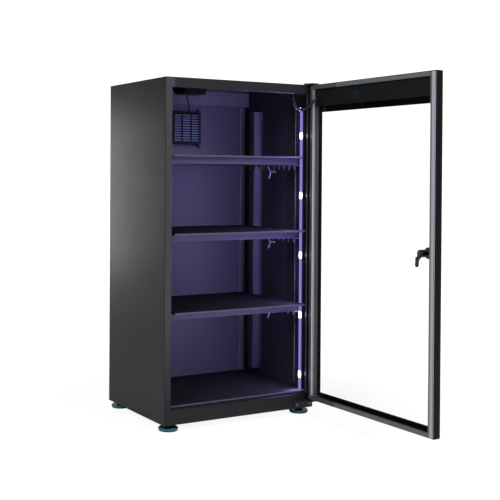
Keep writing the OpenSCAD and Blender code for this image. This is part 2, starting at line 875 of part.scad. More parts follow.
module door_frame() {
    color("#22252b") swung() difference() {
        translate([0, frame_y, 0]) to_front(frame_d) door_ring(0, frame_w, edge_r);
        for (s = [groove_share, 2 * groove_share]) translate([0, frame_y - s * frame_d, 0]) to_front(groove_w)
            difference() {
                translate([-half_w - cut, door_z - cut]) square([body_w + 2 * cut, door_h + 2 * cut]);
                translate([-half_w + groove_deep, door_z + groove_deep])
                    square([body_w - 2 * groove_deep, door_h - 2 * groove_deep]);
            }
        for (z = [door_z - cut, door_z + door_h - bush_l]) translate([pivot_x, pivot_y, z])
            cylinder(d = bush_d, h = bush_l + cut);
    }
}

module door_glass() {
    color([0.1, 0.1, 0.12, 0.35]) swung() difference() {
        translate([-half_w, glass_y, door_z]) to_front(glass_t) round_rect(body_w, door_h, bend_r);
        translate([lock_x, glass_y + cut, lock_height]) to_front(glass_t + 2 * cut)
            circle(d = barrel_d + 2 * snug);
    }
}

// Magnetic gasket: a foot, a narrower bellows and the flat head that meets the body
gasket_neck = 2;
gasket_layers_share = [0.25, 0.35, 0.4];
module door_gasket() {
    foot_t = gasket_t * gasket_layers_share[0];
    neck_t = gasket_t * gasket_layers_share[1];
    head_l = gasket_t * gasket_layers_share[2];
    color("#8d949b") swung() {
        translate([0, frame_y + foot_t, 0]) to_front(foot_t) door_ring(gasket_inset, gasket_w, edge_r);
        translate([0, frame_y + foot_t + neck_t, 0]) to_front(neck_t)
            door_ring(gasket_inset + gasket_neck, gasket_w - 2 * gasket_neck, edge_r);
        translate([0, frame_y + gasket_t, 0]) to_front(head_l) door_ring(gasket_inset, gasket_w, edge_r);
    }
}

module cover_screw_places() {
    for (x = cover_screw_xs) translate([x, cover_face, cover_screw_z]) rotate([-90, 0, 0]) children();
}

// Cover over the door's electronics, with a shallow window for the air sensor
sensor_x = 52;
sensor_w = 28;
sensor_h = 19;
sensor_down = 3;
sensor_deep = 0.6;
sensor_hole_d = 2.4;
sensor_hole_at = [7.5, -4];
module top_cover() {
    w = body_w - 2 * frame_w - 2 * loose;
    deep = cover_face - glass_y;
    color("#19191a") swung() difference() {
        translate([-w / 2, glass_y, cover_top - cover_h]) cube([w, deep, cover_h - loose]);
        translate([-w / 2 + cover_t, glass_y - cut, cover_top - cover_h + cover_t])
            cube([w - 2 * cover_t, deep - cover_t + cut, cover_h - 2 * cover_t - loose]);
        cover_screw_places() translate([0, 0, -cover_t - cut])
            cylinder(d = small_screw_d, h = cover_t + 2 * cut);
        translate([sensor_x, cover_face + cut, cover_screw_z - sensor_down]) {
            to_front(sensor_deep + cut) square([sensor_w, sensor_h], center = true);
            to_front(cover_t + 2 * cut) translate(sensor_hole_at) circle(d = sensor_hole_d);
        }
    }
}

// Steel strip on the glass, with the two bosses that take the cover's screws
rail_h = 12;
rail_t = 1.5;
boss_d = 8;
module cover_rail() {
    span = cover_screw_xs[1] - cover_screw_xs[0] + 2 * boss_d;
    boss_l = cover_face - cover_t - glass_y;
    color("#77787c") swung() difference() {
        union() {
            translate([cover_screw_xs[0] - boss_d, glass_y, cover_screw_z - rail_h / 2])
                cube([span, rail_t, rail_h]);
            cover_screw_places() translate([0, 0, -cover_t - boss_l]) cylinder(d = boss_d, h = boss_l);
        }
        cover_screw_places() translate([0, 0, -cover_t - boss_l + rail_t])
            cylinder(d = small_screw_d, h = boss_l + cut);
    }
}

// Circuit board on the strip, with the sensor, two chips and a plug on it
board_w = 120;
board_h = 28;
board_t = 1.6;
chip_t = 3;
chip_xs_share = [-0.3, 0, 0.3];
chip_w = 12;
module display_board() {
    y = glass_y + rail_t;
    color("#1f5a3c") swung() {
        translate([-board_w / 2, y, cover_screw_z - board_h / 2]) cube([board_w, board_t, board_h]);
        for (s = chip_xs_share) translate([s * board_w - chip_w / 2, y + board_t, cover_screw_z - chip_w / 2])
            cube([chip_w, chip_t, chip_w]);
    }
}

module cover_screws() {
    color("#8a8a90") swung() cover_screw_places() small_screw();
}

module hinge_bushes() {
    color("#d8d6cf") swung() for (top = [0, 1]) translate([pivot_x, pivot_y, door_z + top * door_h])
        mirror([0, 0, top]) difference() {
            cylinder(d = bush_d, h = bush_l);
            translate([0, 0, -cut]) cylinder(d = pin_d + 2 * pin_gap, h = bush_l + 2 * cut);
        }
}

// Cam lock through the glass

barrel_y = pivot_y + barrel_in;
lock_head_d = 28;
lock_head_t = 5;
lock_head_bevel = 1.5;
key_w = 2;
key_h = 8;
key_deep = 6;
cam_screw_l = 6;

// Draws about the lock's axis, with Z inwards through the door and its 0 on the outside of the glass
module about_lock() {
    swung() translate([lock_x, glass_y - glass_t, lock_height]) rotate([-90, 0, 0]) children();
}

barrel_l = barrel_y - glass_y + glass_t;
module lock_housing() {
    color("#6d6255") about_lock() difference() {
        union() {
            translate([0, 0, -lock_head_t]) rotate_extrude()
                polygon([[0, 0], [lock_head_d / 2 - lock_head_bevel, 0], [lock_head_d / 2, lock_head_bevel],
                    [lock_head_d / 2, lock_head_t], [0, lock_head_t]]);
            cylinder(d = barrel_d, h = barrel_l);
        }
        translate([0, 0, -lock_head_t - cut])
            cylinder(d = plug_d + 2 * snug, h = barrel_l + lock_head_t + 2 * cut);
    }
}

nut_t = 6;
nut_flange_t = 2;
module lock_nut() {
    color("#7a6c5a") about_lock() translate([0, 0, glass_t]) difference() {
        union() {
            cylinder(d = nut_d, h = nut_flange_t);
            cylinder(d = nut_d - 2 * nut_flange_t, h = nut_t, $fn = 6);
        }
        translate([0, 0, -cut]) cylinder(d = barrel_d, h = nut_t + 2 * cut);
    }
}

module lock_plug() {
    color("#a09a90") about_lock() difference() {
        translate([0, 0, -lock_head_t]) cylinder(d = plug_d, h = barrel_l + lock_head_t + loose);
        translate([-key_w / 2, -key_h / 2, -lock_head_t - cut]) cube([key_w, key_h, key_deep + cut]);
        translate([0, 0, barrel_l + loose - cam_screw_l]) cylinder(d = small_screw_d, h = cam_screw_l + cut);
    }
}

// The cam: its outline seen along the axis, cut to a side outline that runs out from the axis and steps inwards
cam_share = 0.3;
module lock_cam() {
    step = cam_share * cam_l;
    turn = cam_l - cam_w / 2;
    color("#6a5138") about_lock() translate([0, 0, barrel_l + loose]) rotate([0, 0, -cam_turn]) difference() {
        intersection() {
            linear_extrude(cam_crank + cam_t) {
                circle(d = cam_w + cam_t);
                translate([-cam_w / 2, 0]) square([cam_w, turn]);
                translate([0, turn]) circle(d = cam_w);
            }
            translate([cam_w, 0, 0]) rotate([0, -90, 0]) linear_extrude(2 * cam_w)
                polygon([[0, -cam_w], [0, step], [cam_crank, step + cam_crank], [cam_crank, cam_l + cut],
                    [cam_crank + cam_t, cam_l + cut], [cam_crank + cam_t, step], [cam_t, step - cam_t],
                    [cam_t, -cam_w]]);
        }
        translate([0, 0, -cut]) cylinder(d = small_screw_d, h = cam_t + 2 * cut);
    }
}

module cam_screw() {
    color("#8f8a80") about_lock() translate([0, 0, barrel_l + loose + cam_t])
        screw(small_screw_d, cam_screw_l, small_head_d, small_head_t, small_cross_l);
}

// Strain relief that holds the loom on the door's cover
clamp_d = 11;
clamp_l = 16;
module loom_clamp() {
    route = smooth(loom_route);
    last = route[len(route) - 1];
    dir = way(route, len(route) - 1);
    color("#0f0f10") difference() {
        translate(last) rotate([0, acos(dir[2]), atan2(dir[1], dir[0])]) cylinder(d = clamp_d, h = clamp_l);
        swung() translate([-half_w, glass_y - body_d + cover_face - glass_y, 0]) cube([body_w, body_d, top_z]);
    }
}

module door_loom() {
    color("#1a1a1d") tube(loom_route, loom_d, [0.8, 0.6, 0]);
}

left_side();
right_side();
top_panel();
back_panel();
base_pan();
floor_panel();
rear_top_rail();
post_front_left();
post_front_right();
post_rear_left();
post_rear_right();
led_channel();
led_strip();
led_diffuser();
unit_case();
unit_grille();
dryer_core();
panel_screws();
unit_lead();
ceiling_box();
power_inlet();
base_mat();
top_hinge_bracket();
bottom_hinge_bracket();
hinge_screws();
loom_grommet();
foot_nuts();
shelf_runners_1();
shelf_runners_2();
shelf_runners_3();
shelf_stops();
door_frame();
door_glass();
door_gasket();
top_cover();
cover_rail();
display_board();
cover_screws();
hinge_bushes();
lock_housing();
lock_nut();
loom_clamp();
door_loom();
lock_plug();
lock_cam();
cam_screw();
shelf_tray_1();
shelf_mat_1();
shelf_tray_2();
shelf_mat_2();
shelf_tray_3();
shelf_mat_3();
foot_disc_fl();
foot_stem_fl();
foot_disc_fr();
foot_stem_fr();
foot_disc_bl();
foot_stem_bl();
foot_disc_br();
foot_stem_br();
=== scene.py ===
# %% [markdown]
# # A camera dry cabinet, dressed for its portrait
# The steel, glass and plastic of this cabinet come from an exact model that is already built. Blender adds
# what that model can't hold: paint, rubber, light, soft mats and wiring.

# %% Load the exact model
import math

import bpy
import numpy as np
from mathutils import Matrix, Vector


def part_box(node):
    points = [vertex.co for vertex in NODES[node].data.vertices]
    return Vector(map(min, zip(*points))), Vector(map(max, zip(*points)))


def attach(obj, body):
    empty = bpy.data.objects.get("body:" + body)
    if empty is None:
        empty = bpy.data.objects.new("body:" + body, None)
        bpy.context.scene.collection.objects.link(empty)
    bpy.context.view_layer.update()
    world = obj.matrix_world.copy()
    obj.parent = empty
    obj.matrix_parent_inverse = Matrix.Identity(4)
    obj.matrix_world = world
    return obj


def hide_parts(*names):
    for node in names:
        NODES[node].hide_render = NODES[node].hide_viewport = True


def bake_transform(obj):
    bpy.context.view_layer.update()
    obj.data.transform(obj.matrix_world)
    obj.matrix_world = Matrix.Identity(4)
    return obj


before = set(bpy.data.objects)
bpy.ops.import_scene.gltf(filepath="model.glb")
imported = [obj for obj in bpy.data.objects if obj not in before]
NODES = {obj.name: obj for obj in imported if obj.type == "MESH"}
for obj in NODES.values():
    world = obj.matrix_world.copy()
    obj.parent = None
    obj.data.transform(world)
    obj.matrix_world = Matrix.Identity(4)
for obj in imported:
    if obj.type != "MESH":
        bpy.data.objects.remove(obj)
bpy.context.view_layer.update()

# %% [markdown]
# ## The camera comes first
# The photograph was taken with a long lens from the front left, a little above the middle of the cabinet.
# The camera below was found by matching corners of the real object with corners of the model. Its lens
# shift plays the part of the crop: a cropped photograph looks as if the lens had been slid sideways.

# %% Camera
FRAME_PX = 500
FOCAL_PX = 961.6
SENSOR_MM = 36
LENS_SHIFT = (0.16, -0.1311)
CAMERA_AT = (-1.35262, -2.22906, 0.63653)
YAW, PITCH, ROLL = math.radians(28.859), math.radians(-0.5946), math.radians(0.3243)


def camera_turn(yaw, pitch, roll):
    """Rotation of a camera that looks along +Y when all three angles are zero."""
    ahead = Vector((math.sin(yaw) * math.cos(pitch), math.cos(yaw) * math.cos(pitch), math.sin(pitch)))
    level = Vector((math.cos(yaw), -math.sin(yaw), 0))
    above = level.cross(ahead)
    side = level * math.cos(roll) + above * math.sin(roll)
    up = above * math.cos(roll) - level * math.sin(roll)
    return Matrix((side, up, -ahead)).transposed()


camera = bpy.data.objects.new("camera", bpy.data.cameras.new("camera"))
bpy.context.scene.collection.objects.link(camera)
camera.matrix_world = Matrix.Translation(CAMERA_AT) @ camera_turn(YAW, PITCH, ROLL).to_4x4()
camera.data.sensor_width = SENSOR_MM
camera.data.lens = FOCAL_PX * SENSOR_MM / FRAME_PX
camera.data.shift_x, camera.data.shift_y = LENS_SHIFT
bpy.context.scene.camera = camera
print("lens", round(camera.data.lens, 1), "mm")

# %% [markdown]
# ## Writing shaders as sums
# Node trees are easier to read as arithmetic. `Wire` wraps one output socket, so that `a * b + 0.2` adds
# the Math nodes by itself. Masks are sums too: a comparison gives 1 or 0, so a product of masks is where
# all of them hold.

# %% Sums of sockets
def math_node(operation, swapped=False):
    """Makes the method that adds one Math node with that operation."""
    def method(wire, other=0.0):
        first, second = (other, wire) if swapped else (wire, other)
        return wire.finish.add("ShaderNodeMath", {"operation": operation}, first, second)
    return method


class Wire:
    """An output socket that can be used in sums."""
    __add__ = __radd__ = math_node("ADD")
    __sub__ = math_node("SUBTRACT")
    __rsub__ = math_node("SUBTRACT", swapped=True)
    __mul__ = __rmul__ = math_node("MULTIPLY")
    __truediv__ = math_node("DIVIDE")
    __abs__ = math_node("ABSOLUTE")
    over = math_node("GREATER_THAN")
    under = math_node("LESS_THAN")
    either = math_node("MAXIMUM")
    at_most = math_node("MINIMUM")
    fraction = math_node("FRACT")
    root = math_node("SQRT")

    def __init__(self, finish, socket):
        self.finish, self.socket = finish, socket

    def between(self, low, high):
        return self.over(low) * self.under(high)

    def clipped(self):
        return self.either(0.0).at_most(1.0)

    def ramp(self, start, width):
        """0 up to the start and 1 past the width, or the other way round where the width is negative."""
        return ((self - start) / width).clipped()


print("sockets can be added up")

# %% [markdown]
# ## One finish, one material
# `Finish` is one material. It sets the constants on the shader once, adds any node through one method, and
# feeds the few sockets that change over a surface. Patterns are measured in metres in the cabinet's own
# frame, so a grain has the same size on a large panel and on a small plug, and stays on the piece when it
# moves.

# %% Finishes
# A Mix node has sockets for numbers, vectors and colours, and these are the ones for colours.
MIX_INPUTS, MIX_OUTPUT = (0, 6, 7), 2


def grey(level, tint=(1, 1, 1)):
    return (*[level * t for t in tint], 1)


def scaled(colour, factor):
    return (*[c * factor for c in colour[:3]], 1)


class Finish:
    """A material whose constants are set on its shader, and whose changes over the surface are fed in."""

    def __init__(self, name, **constants):
        self.material = bpy.data.materials.new(name)
        self.material.use_nodes = True
        self.tree = self.material.node_tree
        self.shader = self.tree.nodes["Principled BSDF"]
        for socket, value in constants.items():
            self.shader.inputs[socket.replace("_", " ")].default_value = value

    def put(self, socket, value):
        if isinstance(value, Wire):
            self.tree.links.new(value.socket, socket)
        else:
            socket.default_value = value

    def add(self, kind, settings, *values, out=0, **named):
        """A node with its settings, then with its sockets in their order or by their names."""
        node = self.tree.nodes.new(kind)
        for key, setting in settings.items():
            setattr(node, key, setting)
        for socket, value in zip(node.inputs, values):
            self.put(socket, value)
        for key, value in named.items():
            self.put(node.inputs[key], value)
        return Wire(self, node.outputs[out])

    def feed(self, **values):
        for socket, value in values.items():
            self.put(self.shader.inputs[socket.replace("_", " ")], value)

    def point(self):
        return self.add("ShaderNodeTexCoord", {}, out="Object")

    def split(self, vector):
        return [self.add("ShaderNodeSeparateXYZ", {}, vector, out=axis) for axis in "XYZ"]

    def place(self):
        """X, Y and Z in the cabinet's own frame, in metres."""
        return self.split(self.point())

    def facing(self):
        """X, Y and Z of the way that the surface faces, in the same frame."""
        return self.split(self.add("ShaderNodeTexCoord", {}, out="Normal"))

    def noise(self, size, stretch=(1, 1, 1), detail=2.0):
        """Cloudy values around 0.5, with lumps of about that size in metres."""
        point = self.add("ShaderNodeMapping", {}, self.point(), Scale=tuple(s / size for s in stretch))
        return self.add("ShaderNodeTexNoise", {}, Vector=point, Scale=1.0, Detail=detail)

    def mix(self, mask, low, high):
        """Colour low where the mask is 0 and high where it is 1."""
        node = self.tree.nodes.new("ShaderNodeMix")
        node.data_type = "RGBA"
        for index, value in zip(MIX_INPUTS, (mask, low, high)):
            self.put(node.inputs[index], value)
        return Wire(self, node.outputs[MIX_OUTPUT])

    def clouded(self, cloud, colour, darkest, lightest):
        """One colour, a little darker and lighter from place to place."""
        return self.mix(cloud, scaled(colour, darkest), scaled(colour, lightest))

    def bump(self, height, depth, strength=1.0):
        """Feeds the normal from a height, where a height of 1 stands out by depth in metres."""
        self.feed(Normal=self.add("ShaderNodeBump", {}, Height=height, Distance=depth, Strength=strength))


def wear(finish, names):
    """Gives the finish to those exact pieces."""
    for name in names.split():
        NODES[name].data.materials.clear()
        NODES[name].data.materials.append(finish.material)


print("helpers ready")

# %% [markdown]
# ## Powder coat
# The cabinet is folded from sheet and powder coated black. Powder coat has a faint orange peel and small
# changes of gloss, and one function makes both. Inside, the light bar has bathed every panel in violet for
# the photograph, so the inner faces carry a violet grey. Both sides of a sheet are one mesh. The inner side
# is what lies within the middle of the sheet and also faces the middle of the cabinet, because a box test
# alone would colour the bends.

# %% Powder coat
VIOLET = (0.92, 0.82, 1.2)
PEEL_SIZES, PEEL_DEPTH = (0.0035, 0.0009), 0.00012
CLOUD_SIZE = 0.09
# Limits along X, Y and Z in the middle of the outer sheets, and just below the floor sheet.
INSIDE = [(-0.2244, 0.2244), (-0.1594, 0.1594), (0.0545, 0.8764)]


def violet(level):
    return grey(level, VIOLET)


def powder_coat(name, roughness=0.19):
    """The coat's surface. Its colour is fed in by whoever uses it."""
    paint = Finish(name, Roughness=roughness, Specular_IOR_Level=0.42)
    coarse, fine = [paint.noise(size) for size in PEEL_SIZES]
    paint.cloud = paint.noise(CLOUD_SIZE)
    paint.bump(coarse * 0.5 + fine * 0.5, PEEL_DEPTH, 0.5)
    paint.feed(Roughness=roughness + paint.cloud * 0.07 + coarse * 0.03)
    return paint


def plain_coat(name, colour, roughness=0.19):
    paint = powder_coat(name, roughness)
    paint.feed(Base_Color=paint.clouded(paint.cloud, colour, 0.86, 1.12))
    return paint


def inner_side(finish):
    """1 on what looks into the cabinet, 0 on its outer faces."""
    place, facing = finish.place(), finish.facing()
    boxed = [axis.between(*limits) for axis, limits in zip(place, INSIDE)]
    x, y, z = [(axis - sum(limits) / 2) * way for axis, way, limits in zip(place, facing, INSIDE)]
    return boxed[0] * boxed[1] * boxed[2] * (x + y + z).under(0)


def two_sided(paint, outer, inner):
    paint.feed(Base_Color=paint.mix(inner_side(paint), outer, inner))


print("powder coat stands out by", PEEL_DEPTH * 1000, "mm")

# %% [markdown]
# ## Body paint
# Side, top and plinth are black outside. Their narrow front faces catch the lamp in front of the cabinet,
# and the photograph shows them lighter, the left stile most of all, and darker again towards the floor. A
# mask for each of these is cheaper than a lamp for each. The floor sheet lies in the dark below its mat.

# %% Body paint
OUTSIDE = grey(0.011, (1.0, 1.0, 0.97))
PLINTH, RAIL, STILE = grey(0.017, (1, 1, 1.04)), grey(0.032, (0.93, 1, 1.15)), grey(0.085, (1, 0.98, 1.08))
BRACKET = grey(0.036, (1, 0.97, 0.96))
FRONTWARDS = -0.5
STILE_X, FLOOR_Z = -0.2, 0.062
DARK_BELOW_Z, DARK_FADE = 0.05, 0.25

cabinet_paint = powder_coat("cabinet_paint")
x, y, z = cabinet_paint.place()
front = cabinet_paint.facing()[1].under(FRONTWARDS) * y.under(INSIDE[1][0])
upper = cabinet_paint.mix(x.under(STILE_X), RAIL, STILE)
fronts = cabinet_paint.mix(z.ramp(DARK_BELOW_Z, DARK_FADE), PLINTH, upper)
inner = cabinet_paint.mix(z.under(FLOOR_Z), violet(0.05), grey(0.004))
two_sided(cabinet_paint, cabinet_paint.mix(front, OUTSIDE, fronts), inner)
wear(cabinet_paint, "left_side top_panel base_pan floor_panel")
wear(plain_coat("bracket_paint", BRACKET), "top_hinge_bracket bottom_hinge_bracket")
print("painted with", cabinet_paint.material.name)

# %% [markdown]
# ## Back wall and hinge side
# The back wall takes the light bar's glow full on. The rail across its top is lighter, and the strip beyond
# the rear post is the lightest, since the bar stands right in front of it. The hinge side lies in the lee
# of the bar: nearly black behind the posts, and bright on the one flange that turns back towards the light.
# Light that bounces from wall to wall would show most of this, but it takes many samples, and the paint
# holds the same differences at no cost.

# %% Back wall and hinge side
TOP_RAIL_Z = 0.836
BEYOND_POST_X = 0.2
BEHIND_REAR_POST, BEHIND_FRONT_POST = (0.094, 0.128), (-0.128, -0.108)
POSTS_Z = (0.06, 0.826)
FLANGE_Y, FLANGE_X = 0.15, 0.2146

wall_paint = powder_coat("wall_paint", roughness=0.4)
x, _, z = wall_paint.place()
wall = wall_paint.mix(z.over(TOP_RAIL_Z), violet(0.155), violet(0.24))
beyond_post = x.over(BEYOND_POST_X) * z.under(TOP_RAIL_Z)
two_sided(wall_paint, OUTSIDE, wall_paint.mix(beyond_post, wall, violet(0.45)))
wear(wall_paint, "back_panel rear_top_rail")

lee_paint = powder_coat("lee_paint", roughness=0.3)
x, y, z = lee_paint.place()
flange = y.over(FLANGE_Y) * x.under(FLANGE_X)
behind_posts = y.between(*BEHIND_REAR_POST).either(y.between(*BEHIND_FRONT_POST)) * z.between(*POSTS_Z)
lee = lee_paint.mix(flange, violet(0.05), violet(0.55))
two_sided(lee_paint, OUTSIDE, lee_paint.mix(behind_posts, lee, grey(0.002)))
wear(lee_paint, "right_side")
print("walls painted with", wall_paint.material.name, "and", lee_paint.material.name)

# %% [markdown]
# ## Shelves, posts and runners
# The bar's light on the trays' lips is painted into them as a deeper violet, lighter on the lower shelves,
# and painted darker where they come near the bar, whose lamps shine past them. A post is a hat section: the
# crown with its row of holes stands out from the side wall, and its two flanks go back to it. The violet of
# posts and runners is painted light from the bar too: the flanks are painted lighter upwards, and the front
# post's crown is painted dark as shade but for a painted highlight on its rear edge. The masks use the place
# on the piece, so a shelf keeps its colours when it slides.

# %% Shelves, posts and runners
DEEP = (0.72, 0.56, 1.35)
LIP_FADE_X, LIP_FADE = 0.02, 0.15
LOWER_SHELVES_Z = 0.6
CROWN_X, LIT_EDGE_Y = 0.2027, (-0.1132, -0.108)
FLANK_GAIN = 1.14

shelf_paint = powder_coat("shelf_paint", roughness=0.3)
x, _, z = shelf_paint.place()
lip = shelf_paint.mix(z.under(LOWER_SHELVES_Z), grey(0.21, DEEP), grey(0.34, DEEP))
shelf_paint.feed(Base_Color=shelf_paint.mix(x.ramp(LIP_FADE_X, LIP_FADE), lip, grey(0.13, DEEP)))
wear(shelf_paint, "shelf_tray_1 shelf_tray_2 shelf_tray_3")

post_paint = powder_coat("post_paint", roughness=0.3)
x, y, z = post_paint.place()
front_crown = post_paint.mix(y.between(*LIT_EDGE_Y), violet(0.02), violet(0.45))
crown = post_paint.mix(y.under(0), violet(0.13), front_crown)
flank = post_paint.mix(z * FLANK_GAIN, violet(0.11), violet(0.27))
post_paint.feed(Base_Color=post_paint.mix(abs(x).under(CROWN_X), flank, crown))
wear(post_paint, "post_front_left post_front_right post_rear_left post_rear_right")
runner_paint = plain_coat("runner_paint", violet(0.22), roughness=0.3)
wear(runner_paint, "shelf_runners_1 shelf_runners_2 shelf_runners_3")
print("shelves and posts painted")

# %% [markdown]
# ## The door frame
# The door's frame is an extrusion with a smoother coat than the body, a little bluer, and the drawing
# process leaves very fine lines along it. The lines run up the stiles, where they show, so the noise is
# stretched along the height, which needs no picture. The door stands open in the exact model, so what runs
# along the door is measured from the hinge axis.

# %% Door enamel
PIVOT = (0.219, -0.1744)
OPEN = math.radians(91)
ALONG = (-math.cos(OPEN), -math.sin(OPEN))
LIT_HINGE_STRIP = (0.004, 0.02)
ENAMEL_TINT = (0.9, 1, 1.25)
HAZE_SIZE, LINE_SIZE, LINE_DEPTH = 0.12, 0.0012, 0.00004
DRAWN = (1, 1, 0.02)


def door_place(finish):
    """The distance from the hinge axis along the open door, and the height."""
    x, y, z = finish.place()
    return (x - PIVOT[0]) * ALONG[0] + (y - PIVOT[1]) * ALONG[1], z


door_enamel = Finish("door_enamel", Roughness=0.35, Specular_IOR_Level=0.32)
lines, haze = door_enamel.noise(LINE_SIZE, DRAWN), door_enamel.noise(HAZE_SIZE)
along = door_place(door_enamel)[0]
shade = door_enamel.mix(haze, grey(0.006, ENAMEL_TINT), grey(0.010, ENAMEL_TINT))
# Next to the hinge axis the frame is painted light grey: a painted highlight where its face catches the
# front light.
door_enamel.feed(Base_Color=door_enamel.mix(along.between(*LIT_HINGE_STRIP), shade, grey(0.13, (0.95, 1, 1.1))),
                 Roughness=0.28 + lines * 0.16)
door_enamel.bump(lines, LINE_DEPTH)
wear(door_enamel, "door_frame")
print("door frame enamelled")

# %% [markdown]
# ## Gasket and other rubber
# The magnetic gasket is a soft grey extrusion. In the photograph it is the brightest line of the door,
# because its rounded faces catch the studio light. The whole gasket is one mesh, so masks on the place and
# on the way that a face looks pick its bright beads out. Rubber is dull, and its sheen changes slightly
# where it was handled.

# %% Rubber finishes
RUBBER_CLOUD, RUBBER_GRAIN, GRAIN_DEPTH = 0.02, 0.0007, 0.00006
HINGE_RUN, LOCK_BEAD = 0.1, 0.4362
BEAD_TINT = (0.94, 1.0, 1.08)
SHEATH = grey(0.007, (0.95, 1, 1.2))


def rubber(name, roughness, shine):
    finish = Finish(name, Roughness=roughness, Specular_IOR_Level=shine)
    finish.cloud, grain = finish.noise(RUBBER_CLOUD), finish.noise(RUBBER_GRAIN)
    finish.feed(Roughness=roughness - 0.06 + finish.cloud * 0.12)
    finish.bump(grain, GRAIN_DEPTH)
    return finish


gasket_rubber = rubber("gasket_rubber", 0.5, 0.4)
along = door_place(gasket_rubber)[0]
hinge_side = along.under(HINGE_RUN)
bead = (hinge_side * gasket_rubber.facing()[1].under(FRONTWARDS)).either(along.over(LOCK_BEAD))
# The lit greys are painted highlights, brighter on the hinge side, and the dull greys are painted darker
# there, as painted shade.
lit = gasket_rubber.mix(hinge_side, grey(0.6, BEAD_TINT), grey(0.95, BEAD_TINT))
dull = gasket_rubber.mix(hinge_side, grey(0.21, (0.92, 1.0, 1.08)), grey(0.10, (0.92, 1.0, 1.0)))
gasket_rubber.feed(Base_Color=gasket_rubber.mix(bead, dull, lit))
wear(gasket_rubber, "door_gasket")

cable_sheath = rubber("cable_sheath", 0.4, 0.15)
cable_sheath.feed(Base_Color=cable_sheath.clouded(cable_sheath.cloud, SHEATH, 0.82, 1.15))
print("gasket and cable sheath ready")

# %% [markdown]
# ## Glass with a printed border
# The door's pane is clear in the middle and printed black along its edges, wider at the top where the
# electronics sit. Ink and glass are one pane, so one finish does both: the ink's mask raises the alpha and
# darkens the colour. The mask is measured along the pane itself, from the hinge axis.

# %% Glass
CLEAR_ALONG, CLEAR_Z = (0.015, 0.423), (0.060, 0.8038)
WINDOW_ALONG, WINDOW_Z = (0.175, 0.255), (0.826, 0.852)
CLEAR_ALPHA = 0.03
SMEAR_SIZE = 0.08

glass = Finish("glass", Roughness=0.03, Specular_IOR_Level=0.5, IOR=1.5)
along, height = door_place(glass)
ink = 1 - along.between(*CLEAR_ALONG) * height.between(*CLEAR_Z)
window = along.between(*WINDOW_ALONG) * height.between(*WINDOW_Z)
smear = glass.noise(SMEAR_SIZE, detail=4.0)
black = glass.mix(window, grey(0.004), grey(0.018, (0.8, 0.9, 1.3)))
glass.feed(Base_Color=glass.mix(ink, grey(0.3, (0.97, 1, 0.99)), black),
           Alpha=CLEAR_ALPHA + ink * (1 - CLEAR_ALPHA), Roughness=0.02 + smear * 0.04 * ink)
glass.material.surface_render_method = "BLENDED"
wear(glass, "door_glass")
print("pane is clear from", CLEAR_ALONG, "along and", CLEAR_Z, "up")

# %% [markdown]
# ## Moulded plastics
# The dehumidifier, the ceiling box and the door's cover are mouldings. Black mouldings have a spark eroded
# grain, which is a dense pebble pattern, and smooth Voronoi cells look just like it.

# %% Moulded plastics
PEBBLE_SIZE, PEBBLE_DEPTH = 0.0011, 0.00008
PLASTIC_CLOUD = 0.03
COVER = grey(0.012, (0.97, 1, 1.05))
SENSOR_ALONG, SENSOR_Z = (0.153, 0.181), (0.8317, 0.8507)


def pebbled(name, roughness=0.5, **constants):
    """The mouldings' surface. Its colour is fed in by whoever uses it."""
    finish = Finish(name, Roughness=roughness, **constants)
    pebbles = finish.add("ShaderNodeTexVoronoi", {"feature": "SMOOTH_F1"},
                         Vector=finish.point(), Scale=1 / PEBBLE_SIZE, Smoothness=0.6)
    finish.cloud = finish.noise(PLASTIC_CLOUD)
    finish.feed(Roughness=roughness - 0.05 + finish.cloud * 0.1)
    finish.bump(pebbles, PEBBLE_DEPTH, 0.5)
    return finish


def moulded(name, colour, roughness=0.5, **constants):
    finish = pebbled(name, roughness, **constants)
    finish.feed(Base_Color=finish.clouded(finish.cloud, colour, 0.85, 1.15))
    return finish


black_plastic = moulded("black_plastic", grey(0.008), Specular_IOR_Level=0.12)
wear(black_plastic, "ceiling_box power_inlet loom_grommet loom_clamp "
     "foot_stem_fl foot_stem_fr foot_stem_bl foot_stem_br")
# The case's blue tint is painted light from the bar on its black moulding.
wear(moulded("case_plastic", grey(0.012, (0.9, 0.95, 1.4)), 0.6, Specular_IOR_Level=0.08), "unit_case")
# The stops are white nylon, with the bar's violet light painted in as a tint.
wear(moulded("stop_nylon", grey(0.8, (0.9, 0.9, 1.15)), 0.3), "shelf_stops")
wear(moulded("bush_plastic", grey(0.55, (1, 1, 0.96)), 0.35), "hinge_bushes")

cover_plastic = pebbled("cover_plastic", Specular_IOR_Level=0.22)
along, height = door_place(cover_plastic)
sensor = along.between(*SENSOR_ALONG) * height.between(*SENSOR_Z)
cover_plastic.feed(Base_Color=cover_plastic.mix(sensor, COVER, grey(0.022, (0.6, 1.1, 1.3))))
wear(cover_plastic, "top_cover")
print("plastics moulded")

# %% [markdown]
# ## The dehumidifier's grille
# The grille's frame and its two mullions are dark, and its blades carry the light bar's blue. All of it is
# one moulding, so a mask picks the blades: within the square opening and off the two mullions.

# %% Grille
GRILLE_Z, HALF_OPENING = 0.769, 0.0389
MULLION_X, HALF_MULLION = 0.0147, 0.0026

grille_plastic = pebbled("grille_plastic", Specular_IOR_Level=0.08)
x, _, z = grille_plastic.place()
opening = abs(x).under(HALF_OPENING) * abs(z - GRILLE_Z).under(HALF_OPENING)
blades = opening * abs(abs(x) - MULLION_X).over(HALF_MULLION)
grille_plastic.feed(Base_Color=grille_plastic.mix(blades, grey(0.03, (0.8, 0.95, 1.5)),
                                                  grey(0.62, (0.78, 0.93, 1.38))))
wear(grille_plastic, "unit_grille")
print("grille opens", HALF_OPENING * 2000, "mm square")

# %% [markdown]
# ## Glossy feet
# The feet are glossy teal discs, each on a black rubber pad. A clear coat gives the gloss, and the pad is
# left out of it by a mask on the height, which keeps disc and pad one piece.

# %% Feet
PAD_Z = 0.003
SWIRL_SIZE, SWIRL_DEPTH = 0.03, 0.0002
TEAL, LIGHT_TEAL = (0.016, 0.15, 0.21, 1), (0.03, 0.24, 0.31, 1)

